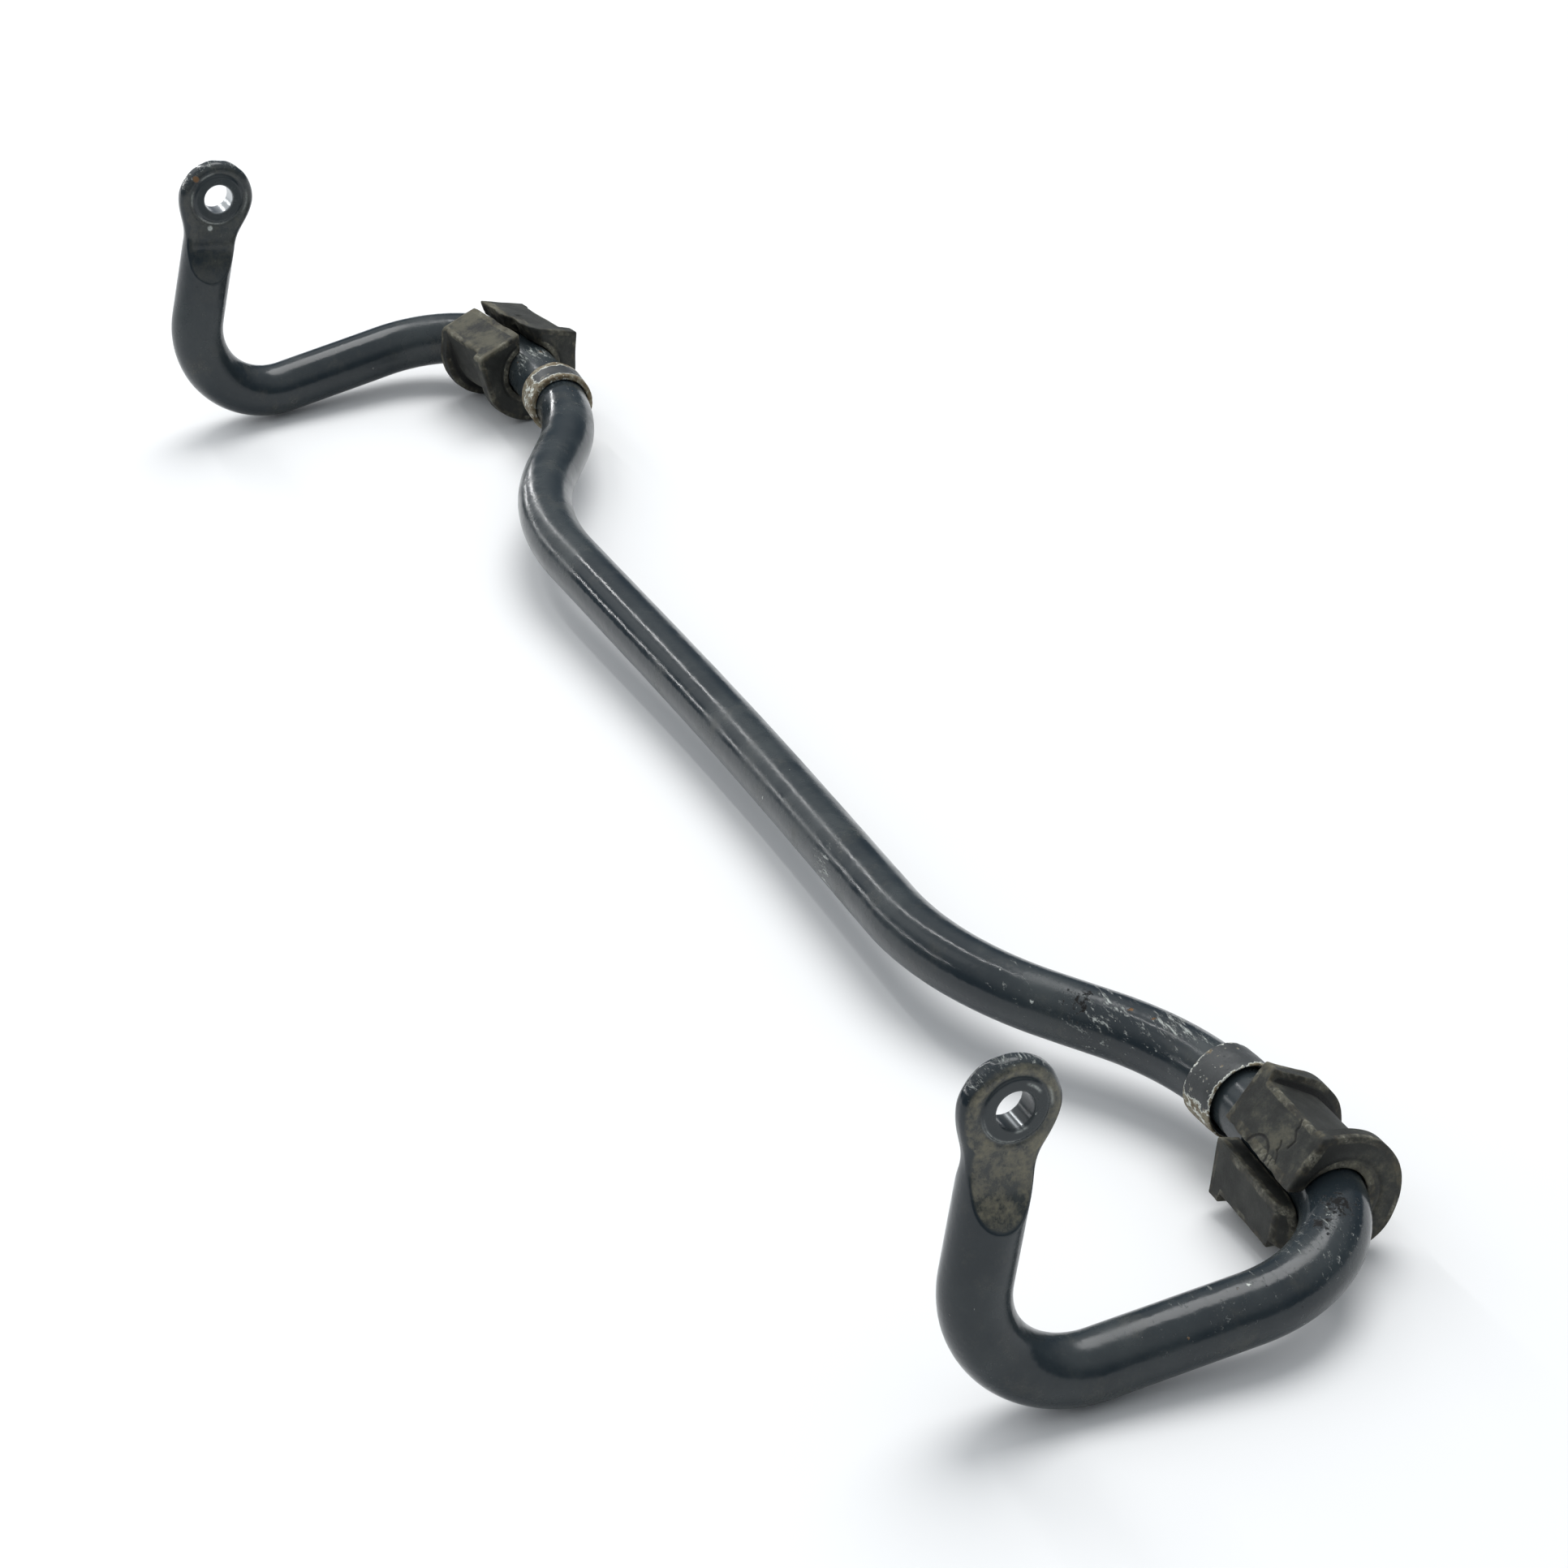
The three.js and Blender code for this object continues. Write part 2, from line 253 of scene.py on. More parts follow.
def surface(field, low, high, cell):
    """Vertices and quads of a field's zero surface, open where it leaves the box."""
    axes = [np.arange(low[i], high[i] + cell, cell) for i in range(3)]
    solid = field(np.stack(np.meshgrid(*axes, indexing="ij"), -1)) < 0
    wide, deep, tall = (size - 1 for size in solid.shape)
    corners = sum(
        solid[i:wide + i, j:deep + j, k:tall + k].astype(int)
        for i in (0, 1) for j in (0, 1) for k in (0, 1)
    )
    crossed = (corners > 0) & (corners < 8)
    number = np.full(crossed.shape, -1)
    number[crossed] = np.arange(crossed.sum())
    points = np.array(low) + (np.argwhere(crossed) + 0.5) * cell
    quads = []
    for axis in range(3):
        first, second = [a for a in range(3) if a != axis]
        lower = np.take(solid, range(solid.shape[axis] - 1), axis)
        upper = np.take(solid, range(1, solid.shape[axis]), axis)
        edges = np.argwhere(lower != upper)
        fits = (edges[:, first] > 0) & (edges[:, first] < solid.shape[first] - 1)
        fits &= (edges[:, second] > 0) & (edges[:, second] < solid.shape[second] - 1)
        edges = edges[fits]
        ring = []
        for back_first, back_second in ((1, 1), (0, 1), (0, 0), (1, 0)):
            cells = edges.copy()
            cells[:, first] -= back_first
            cells[:, second] -= back_second
            ring.append(number[tuple(cells.T)])
        ring = np.stack(ring, -1)
        flip = lower[tuple(edges.T)] != (axis == 1)
        ring[~flip] = ring[~flip][:, ::-1]
        quads.append(ring)
    for _ in range(SURFACE_PASSES):
        value, rise = slope(field, points)
        steepness = np.maximum((rise ** 2).sum(-1), 0.25)
        move = -rise * (value / steepness)[:, None]
        points = points + np.clip(move, -cell, cell)
    return points, np.concatenate(quads)


def edge_wear_highlight_and_shade(field, points, reach):
    """1 on a sharp outer edge, 0 on a flat face, -1 deep in an inner corner."""
    _, rise = slope(field, points)
    outward = rise / np.maximum(np.linalg.norm(rise, axis=-1), 1e-6)[:, None]
    below = field(points - outward * reach) / reach + 1
    above = field(points + outward * reach) / reach - 1
    return np.clip(below + above, -1, 1)


def piece(name, points, faces, attributes):
    """A smooth mesh object from points about the seat axis, with named numbers for each point."""
    mesh = bpy.data.meshes.new(name)
    mesh.from_pydata(points.tolist(), [], faces)
    whole = bpy.data.objects.new(name, mesh)
    bpy.context.scene.collection.objects.link(whole)
    for attribute, values in {"place": points, **attributes}.items():
        kind = "FLOAT_VECTOR" if np.ndim(values) == 2 else "FLOAT"
        layer = mesh.attributes.new(attribute, kind, "POINT")
        layer.data.foreach_set("vector" if np.ndim(values) == 2 else "value", np.ravel(values))
    mesh.transform(SEAT_TO_FRAME)
    mesh.shade_smooth()
    return whole


# --- Bar ------------------------------------------------------------------------------------------

# Worn places on the bar: where, how far they reach, how much of the enamel is gone
WORN_PLACES = [
    ((294, -3, 10), 18, 0.85),
    ((272, -19, 10), 20, 0.75),
    ((240, -36, 10), 20, 0.4),
    ((125, -62, 8), 13, 0.9),
    ((420, -20, 12), 24, 0.6),
    ((417, -60, 12), 34, 0.45),
    ((422, -150, 6), 26, 0.4),
    ((-350, 0, 10), 12, 0.9),
    ((-292, -8, 8), 18, 0.4),
]

# Pitted black places, where rust has come through the enamel: where, how far, how strong
PITTED_PLACES = [((409, -7, 10), 6, 1.0), ((415, -17, 9), 5, 1.0), ((262, -26, 12), 7, 0.8)]


def marked(points, places):
    """How strongly each point is marked by the nearest of some places."""
    amount = np.zeros(len(points))
    for place, reach, strength in places:
        distance = np.linalg.norm(points - np.array(place), axis=-1)
        amount = np.maximum(amount, strength * bump(distance, reach))
    return amount


# Marks on the faces of the eyes. Angles are in degrees from the top of the eye, about its hole.
# Pale arcs, painted highlights on the edges about the hole: radius, middle, half sweep, strength.
# Bore streaks, painted highlights: middle, half sweep.
# A chip and a rust spot: radius, angle, size.
RIGHT_EYE_ARCS = [
    (9.3, -32, 24, 0.8), (10.9, 152, 62, 0.8), (12.3, -70, 22, 0.5), (7.5, -155, 22, 0.6),
]
LEFT_EYE_ARCS = [
    (12.4, 95, 22, 0.5), (11.9, 170, 45, 0.45), (13.2, -90, 30, 0.35), (12.2, 35, 22, 0.4),
]
BORE_HIGHLIGHT_STREAKS = [(-163, 5), (-149, 3)]
LEFT_EYE_CHIP = (14.2, 172, 1.1)
LEFT_EYE_RUST = (14.4, 54, 1.3)
ARC_WIDTH = 0.42


def arc(out, around, radius, middle, sweep):
    """1 on a thin arc about an eye's hole, fading towards its ends."""
    off = np.abs((around - middle + 180) % 360 - 180)
    return bump(out - radius, ARC_WIDTH) * step(-off, -sweep, -sweep / 3)


def spot(out, around, radius, middle, size):
    """1 on a small spot beside an eye's hole."""
    off = np.radians(around - middle)
    return step(-np.hypot(out * np.cos(off) - radius, out * np.sin(off)), -size - 0.3, -size + 0.3)


def arm_corner(eye):
    """The corner at the foot of an eye's upright."""
    return np.array(mirrored(ARM_CORNER[0]) if eye[0] < 0 else ARM_CORNER[0], float)


def eye_axes(eye):
    """The eye's own axes as rows: across the web, up the upright, and the upright's width."""
    upright = np.array(eye) - arm_corner(eye)
    across = np.array([1.0, 0, 0])
    up = unit(upright * [0, 1, 1])
    return np.stack([across, up, np.cross(across, up)])


def eye_field(eye):
    """Field of an eye and the stump of its upright, in the eye's own axes."""
    lean = eye_axes(eye) @ unit(np.array(eye) - arm_corner(eye))

    def field(points):
        across, up, width = points[..., 0], points[..., 1], points[..., 2]
        out = np.hypot(up, width)
        rod = np.hypot(across - up * lean[0] / lean[1], width) - BAR_RADIUS
        rod = meet(rod, up, 1)
        body = merge(rod, out - EYE_RADIUS, EYE_FILLET)
        down = np.clip(-PRESSED_FLAT_LENGTH - up, 0, PRESS_RUN_OUT_RADIUS)
        hollow = PRESS_RUN_OUT_RADIUS - np.sqrt(PRESS_RUN_OUT_RADIUS ** 2 - down ** 2)
        groove = EYE_GROOVE_DEPTH * bump(out - EYE_RING_RADIUS - 0.9, 0.7)
        ring = EYE_RING_RISE * step(-out, -EYE_RING_RADIUS - 0.3, -EYE_RING_RADIUS + 0.5)
        past_ring = step(out, EYE_RING_RADIUS, EYE_RING_RADIUS + 3)
        uneven = 0.12 * lumps(points + eye[0], 9, 1.0) * past_ring
        web = np.abs(across) - EYE_HALF_WEB - hollow - ring + groove + uneven
        rounding = WEB_EDGE_ROUNDING + (EYE_RIM_ROUNDING - WEB_EDGE_ROUNDING) * step(up, -30, -14)
        rim = 0.3 * lumps(points + 2 * eye[0], 7, 2.0) * step(up, 0, 10)
        forged = meet(body + np.maximum(rim, 0), web, rounding)
        return meet(forged, LINK_HOLE_RADIUS - out, LINK_HOLE_ROUNDING)

    return field


def eye_mesh(eye):
    """An eye's points about the seat axis, its quads, and its numbers for the material."""
    field, axes = eye_field(eye), eye_axes(eye)
    reach = EYE_RADIUS + 1.5
    own, quads = surface(field, (-reach, -EYE_STUMP, -reach), (reach, reach, reach), EYE_CELL)
    out = np.hypot(own[:, 1], own[:, 2])
    _, rise = slope(field, own)
    facing_out = np.abs(rise[:, 0]) / np.linalg.norm(rise, axis=-1)
    pressed = BAR_RADIUS - np.hypot(own[:, 0], own[:, 2])
    on_web = step(facing_out, 0.6, 0.9) * np.maximum(step(pressed, 0.1, 0.8), out < EYE_RADIUS + 1)
    right = eye[0] > 0
    around = np.degrees(np.arctan2(own[:, 2], own[:, 1]))
    in_bore = step(-out, -LINK_HOLE_RADIUS - 0.5, -LINK_HOLE_RADIUS + 0.1)
    # Pale arcs on the faces are painted highlights along the ring's and hole's edges; the left
    # eye's chip is a real one.
    arcs = RIGHT_EYE_ARCS if right else LEFT_EYE_ARCS
    pale_marks_and_highlights = sum(strength * arc(out, around, *shape) for *shape, strength in arcs) * on_web
    # Bright streaks in the right eye's bore are painted highlights, made of bare steel.
    bore_highlight_streaks = sum(bump((around - middle) / half, 1) for middle, half in BORE_HIGHLIGHT_STREAKS)
    if not right:
        pale_marks_and_highlights = pale_marks_and_highlights + spot(out, around, *LEFT_EYE_CHIP)
    off_ring = step(out, EYE_RING_RADIUS + 0.2, EYE_RING_RADIUS + 1.4)
    numbers = {
        "worn": 0.7 * step(out, EYE_RADIUS - 3.5, EYE_RADIUS) * step(own[:, 1], -4, 8),
        "rubbed": on_web * (1.0 if right else 0.2) * off_ring,
        "coined": on_web * step(-out, -EYE_RING_RADIUS - 0.8, -EYE_RING_RADIUS),
        "bare_and_highlight": in_bore * np.clip(0.05 + bore_highlight_streaks, 0, 1) if right else in_bore,
        "pale_marks_and_highlights": pale_marks_and_highlights,
        "rust": np.zeros(len(own)) if right else spot(out, around, *LEFT_EYE_RUST),
    }
    return own @ axes + np.array(eye), quads, numbers


def rod_mesh():
    """The bar between the stumps of its eyes: rings of points, and quads."""
    path = rounded_path(LEFT_EYE, ALL_BENDS, RIGHT_EYE, RING_SPACING)
    clear = EYE_STUMP + RING_SPACING / 2
    to_left, to_right = (np.linalg.norm(path - eye, axis=-1) for eye in (LEFT_EYE, RIGHT_EYE))
    path = path[np.minimum(to_left, to_right) > clear]
    tangents = np.gradient(path, axis=0)
    side = np.array([1.0, 0, 0])
    rings = []
    for place, tangent in zip(path, tangents):
        tangent = unit(tangent)
        side = unit(side - tangent * (side @ tangent))
        other = np.cross(tangent, side)
        for k in range(RING_POINTS):
            angle = 2 * math.pi * k / RING_POINTS
            rings.append(place + BAR_RADIUS * (side * math.cos(angle) + other * math.sin(angle)))
    points = np.array(rings)
    start, number = np.arange(len(path) - 1)[:, None] * RING_POINTS, np.arange(RING_POINTS)
    first, second = start + number, start + (number + 1) % RING_POINTS
    quads = np.stack([first, second, second + RING_POINTS, first + RING_POINTS], -1).reshape(-1, 4)
    return points, quads


def make_bar():
    """One closed mesh: the rod, with an eye bridged on at each end."""
    points, quads = rod_mesh()
    names = ("worn", "rubbed", "coined", "bare_and_highlight", "pale_marks_and_highlights", "rust")
    numbers = {name: np.zeros(len(points)) for name in names}
    faces = quads
    for eye in (LEFT_EYE, RIGHT_EYE):
        eye_points, eye_quads, eye_numbers = eye_mesh(eye)
        faces = np.concatenate([faces, eye_quads + len(points)])
        points = np.concatenate([points, eye_points])
        numbers = {name: np.concatenate([numbers[name], eye_numbers[name]]) for name in names}
    numbers["worn"] = np.maximum(numbers["worn"], marked(points, WORN_PLACES))
    numbers["pitted"] = marked(points, PITTED_PLACES)
    bar = piece("steel_bar", points, faces.tolist(), numbers)
    shell = bmesh.new()
    shell.from_mesh(bar.data)
    for side in (-1, 1):
        open_edges = [e for e in shell.edges if e.is_boundary and e.verts[0].co.x * side > 0]
        bmesh.ops.bridge_loops(shell, edges=open_edges)
    bmesh.ops.recalc_face_normals(shell, faces=shell.faces)
    for face in shell.faces:
        face.smooth = True
    shell.to_mesh(bar.data)
    shell.free()
    return bar


# --- Collars --------------------------------------------------------------------------------------

def collar_axes(side):
    """A collar's centre and its own axes as rows: outward along the bar, and two across it."""
    path = rounded_path(MIDDLE[0], RIGHT_BENDS, RIGHT_EYE, spacing=0.5)
    nearest = np.argmin(np.abs(path[:, 0] - COLLAR_PLACE) + 1000 * (np.abs(path[:, 1]) > 20))
    outward = unit(path[nearest + 1] - path[nearest])
    centre = path[nearest] * [side, 1, 1]
    outward = outward * [side, 1, 1]
    across = unit(np.cross([0, 0, 1], outward))
    return centre, np.stack([outward, across, np.cross(outward, across)])


def collar_field(seed):
    """Field of a collar: a ring with dents, nicked ends and a countersunk outer end."""
    def field(points):
        along = points[..., 0]
        out = np.hypot(points[..., 1], points[..., 2])
        around = np.arctan2(points[..., 2], points[..., 1])
        near_end = bump(np.abs(along) - COLLAR_LENGTH / 2 + 0.4, 1.2)
        nicks = 0.22 * np.maximum(lumps(points, 2.2, seed + 3), 0) * near_end
        dents = 0.14 * lumps(points, 5, seed)
        shell = out - COLLAR_RADIUS + 0.2 + dents + nicks
        ends = np.abs(along) - COLLAR_LENGTH / 2 + 0.15 + 0.1 * np.sin(3 * around + seed)
        ring = meet(shell, ends, COLLAR_ROUNDING)
        in_countersink = step(along, COLLAR_LENGTH / 2 - COUNTERSINK_DEPTH, COLLAR_LENGTH / 2)
        bore = COLLAR_BORE + COUNTERSINK_WIDTH * in_countersink - out
        return meet(ring, bore, 0.3)

    return field


def make_collar(name, side, painted):
    """A collar on one side of the bar. painted says how much black is at each point: paint that is
    left, and painted shade in the right collar's bore.
    """
    centre, axes = collar_axes(side)
    field = collar_field(side * 1.3)
    reach = COLLAR_RADIUS + 1
    half = COLLAR_LENGTH / 2 + 1
    own, quads = surface(field, (-half, -reach, -reach), (half, reach, reach), COLLAR_CELL)
    out = np.hypot(own[:, 1], own[:, 2])
    numbers = {
        "edge": bump(np.hypot(COLLAR_LENGTH / 2 - np.abs(own[:, 0]), COLLAR_RADIUS - out), 1.3),
        "paint": painted(own),
    }
    return piece(name, own @ axes + centre, quads.tolist(), numbers)


def mostly_painted(own):
    """Paint outside, thinner at the outer end on top and gone low on the arms' side, with black in
    the bore as painted shade.
    """
    out = np.hypot(own[:, 1], own[:, 2])
    # Black kept in the bore and on the inner rim of the ends: painted shade.
    in_bore = step(-out, -COLLAR_RADIUS + 0.9, -COLLAR_RADIUS + 1.5)
    patch = step(-own[:, 2], -6, 1) * step(-own[:, 1], 3, 9)
    at_end = step(own[:, 0], COLLAR_LENGTH / 2 - 2.6, COLLAR_LENGTH / 2 - 0.4)
    on_top = step(own[:, 2], 2, 9)
    return np.maximum(0.97 - patch - 0.3 * at_end * on_top, in_bore)


def mostly_bare(own):
    """A band of paint on top, away from the ends."""
    on_top = step(0.93 * own[:, 2] - 0.37 * own[:, 1], 6, 11)
    band = step(-np.abs(own[:, 0] + 0.8), -5.6, -3.2)
    return 0.05 + 1.05 * on_top * band


# --- Bushes ---------------------------------------------------------------------------------------

# Angles are round the seat axis, in degrees from +y towards +z. The slit's edges are points: how
# far along the bush, how far across from the slit's plane. slit_lean leans the rear edge's face,
# slit_middle is where the slit runs at its two ends, and blend is half the width of the wall that
# flexes. A half's widths run from the middle of its base to its edge: at the inner flange's ear, at
# both ends of the waist, at the outer flange's tail. dust is how dusty its base is. The halves meet
# at BUSH_SEAM, inside the slit.
RIGHT_BUSH = {
    "side": 1, "inner_end": 349, "yaw": 0, "slit": 156, "hinge": 336,
    "slit_rear": [(0, 5.2), (46, 2.6)], "slit_front": [(0, -2.2), (46, -5.2)],
    "slit_lean": 0, "slit_middle": (1.5, -1.3), "blend": 3,
    "front": {
        "base": 163.5, "ear": 21.2, "waist": (17.6, 19.6), "tail": 15.9,
        "end_chamfer": 5, "dust": -0.5,
    },
    "rear": {
        "base": 132, "ear": 19.6, "waist": (16, 14.4), "tail": 15.4,
        "end_chamfer": 0.6, "dust": 0.2,
    },
}
LEFT_BUSH = {
    "side": -1, "inner_end": -356.5, "yaw": 9, "slit": 82, "hinge": 290,
    "slit_rear": [
        (0, 4.9), (3.5, 1.9), (9.5, 0.7), (18.5, 1.6), (23.5, -1.5), (30.5, -1.2), (46, -1),
    ],
    "slit_front": [(0, -5.2), (46, -5.2)],
    "slit_lean": 0.35, "slit_middle": (-3.4, -3.4), "blend": 1.4,
    "front": {
        "base": 102, "ear": 21.2, "waist": (17.8, 17), "tail": 15.9,
        "end_chamfer": 2.5, "dust": 1.0,
    },
    "rear": {
        "base": 65, "ear": 19.6, "waist": (14, 14), "tail": 15.4,
        "end_chamfer": 1.5, "dust": -0.1,
    },
}


def bush_matrix(bush):
    """From the seat axes to the bush's own: x counts from its inner end outward, y and z stay."""
    yaw = Matrix.Rotation(math.radians(bush["yaw"]), 4, "Z")
    place = Matrix.Translation((bush["inner_end"], 0, 0)) @ yaw
    return np.array((place @ Matrix.Diagonal((bush["side"], 1, 1, 1))).inverted())


def d_section(points, half, along):
    """Distance to a half's D section: a flat base, and sides tangent to a round back."""
    at_ear = 1 - step(along, BUSH_FLANGE - 0.5, BUSH_FLANGE + 0.9)
    at_tail = step(along, BUSH_LENGTH - BUSH_FLANGE - 0.9, BUSH_LENGTH - BUSH_FLANGE + 0.5)
    waist = half["waist"][0] + (half["waist"][1] - half["waist"][0]) * along / BUSH_LENGTH
    width = waist + (half["ear"] - waist) * at_ear + (half["tail"] - waist) * at_tail
    radius = BUSH_WAIST_RADIUS + (BUSH_FLANGE_RADIUS - BUSH_WAIST_RADIUS) * (at_ear + at_tail)
    normal = direction(half["base"])
    height = points[..., 1] * normal[0] + points[..., 2] * normal[1]
    beside = np.abs(points[..., 1] * normal[1] - points[..., 2] * normal[0])
    reach = np.hypot(width, BUSH_BASE)
    side_angle = np.arctan2(BUSH_BASE, width) - np.arccos(np.minimum(radius / reach, 1))
    flank = beside * np.cos(side_angle) + height * np.sin(side_angle) - radius
    past_tangent = np.arctan2(height, beside) < side_angle
    sides = np.where(past_tangent, np.hypot(height, beside) - radius, flank)
    return sides, height - BUSH_BASE


def bush_field(bush):
    """Field of one bush, in its own axes."""
    from_bush = np.linalg.inv(bush_matrix(bush))
    slit, across = direction(bush["slit"]), direction(bush["slit"] - 90)
    hinge = direction(bush["hinge"])
    rear_side = -1.0 if (hinge[1] * across[0] - hinge[0] * across[1]) < 0 else 1.0
    seed = bush["side"] * 2.0

    def bore(points):
        """Distance to the bar's centreline, where it comes nearest over the bush's whole turn."""
        placed = points @ from_bush[:3, :3].T + from_bush[:3, 3]
        placed[..., 0] *= bush["side"]
        swing = np.arctan2(placed[..., 2], -placed[..., 1])
        return off_seat_path(turned(placed, np.clip(swing, -BUSH_TURN, BUSH_TURN)))

    def field(points):
        along = points[..., 0]
        opened = points[..., 1] * across[0] + points[..., 2] * across[1]
        towards_slit = points[..., 1] * slit[0] + points[..., 2] * slit[1]
        hinge_side = points[..., 1] * hinge[1] - points[..., 2] * hinge[0]
        is_rear = np.where(towards_slit > 0, opened > BUSH_SEAM, hinge_side * rear_side > 0)
        halves = []
        for half in (bush["front"], bush["rear"]):
            sides, base = d_section(points, half, along)
            sides = sides + 0.18 * lumps(points, 11, seed)
            base = base + 0.35 * np.maximum(lumps(points, 9, seed + 1), 0)
            shape = meet(sides, base, BUSH_ROUNDING)
            ends = np.maximum(-along, along - BUSH_LENGTH) + 0.2 * (1 + lumps(points, 8, seed + 2))
            shape = meet(shape, ends, BUSH_END_ROUNDING)
            chamfer = (base + along - BUSH_LENGTH + half["end_chamfer"]) * math.sqrt(0.5)
            halves.append(meet(shape, chamfer, BUSH_END_ROUNDING))
        total = np.where(is_rear, halves[1], halves[0])
        out = np.hypot(points[..., 1], points[..., 2])
        at_end = bump(np.minimum(along, BUSH_LENGTH - along), 1.2)
        total = total + END_GROOVE_DEPTH * bump(out - END_GROOVE_RADIUS, 0.6) * at_end
        rear_edge = np.interp(along, *zip(*bush["slit_rear"])) + 0.3 * lumps(points, 4, seed + 3)
        front_edge = np.interp(along, *zip(*bush["slit_front"])) + 0.2 * lumps(points, 5, seed + 4)
        undercut = bush["slit_lean"] * (BUSH_BASE - towards_slit)
        gap = np.minimum(rear_edge + undercut - opened, opened - front_edge)
        total = np.where(towards_slit > 0, meet(total, gap, BUSH_ROUNDING), total)
        total = meet(total, BUSH_BORE - bore(points), BUSH_BORE_ROUNDING)
        for route, width, depth in bush_marks(bush):
            total = total + depth * bump(near_line(points, route), width)
        return total

    return field


# Cracks in the right bush's rear base: points along and beside its middle line, width, depth
CRACKS = [
    ([(31, 14.5), (32.2, 12), (32, 10.5), (34.5, 7.7), (33.6, 4.4)], 0.36, 0.9),
    ([(29.2, 4.5), (30.3, 2.9), (30.1, 1.4), (31.6, 0.2), (33, -2.2)], 0.34, 0.9),
    ([(29.3, 0.4), (30.4, -1.6), (30.1, -3.1), (31.3, -5.2)], 0.26, 0.7),
]


def on_base(half, along, beside):
    """A point on a half's base, in the bush's own axes."""
    normal = direction(half["base"])
    y = normal[0] * BUSH_BASE + normal[1] * beside
    z = normal[1] * BUSH_BASE - normal[0] * beside
    return (along, y, z)


def bush_marks(bush):
    """Cracks and the mould's half circle: where each runs, how wide and how deep it is."""
    if bush["side"] < 0:
        pit = [on_base(bush["rear"], 22, 0), on_base(bush["rear"], 22.3, 1.5)]
        return [(pit, 0.9, 0.8)]
    rear = bush["rear"]
    ring = [
        on_base(rear, 22 + MOULD_RING_RADIUS * math.cos(a), -4.6 + MOULD_RING_RADIUS * math.sin(a))
        for a in np.linspace(-0.1, math.pi + 0.1, 12)
    ]
    marks = [(ring, 0.4, 0.45)]
    for route, width, depth in CRACKS:
        marks.append(([on_base(rear, along, beside) for along, beside in route], width, depth))
    return marks


def on_face(points, half):
    """1 on a half's flat base, 0 away from it."""
    normal = direction(half["base"])
    height = points[:, 1] * normal[0] + points[:, 2] * normal[1]
    return step(height, BUSH_BASE - 1.6, BUSH_BASE - 0.6)


def make_bush(name, bush):
    """One continuous moulding, with the numbers that its material reads."""
    from_bush = np.linalg.inv(bush_matrix(bush))
    field = bush_field(bush)
    low = (-1, -BUSH_REACH, -BUSH_REACH)
    own, quads = surface(field, low, (BUSH_LENGTH + 1, BUSH_REACH, BUSH_REACH), BUSH_CELL)
    if bush["side"] < 0:
        quads = quads[:, ::-1]
    marks = [(near_line(own, route), width) for route, width, _ in bush_marks(bush)]
    numbers = {
        "edge": edge_wear_highlight_and_shade(field, own, reach=2.6),
        "mark": np.max([bump(distance, 1.8 * width) for distance, width in marks], 0),
        "dusty": sum(bush[half]["dust"] * on_face(own, bush[half]) for half in ("front", "rear")),
    }
    return piece(name, own @ from_bush[:3, :3].T + from_bush[:3, 3], quads.tolist(), numbers)


# --- Materials ------------------------------------------------------------------------------------

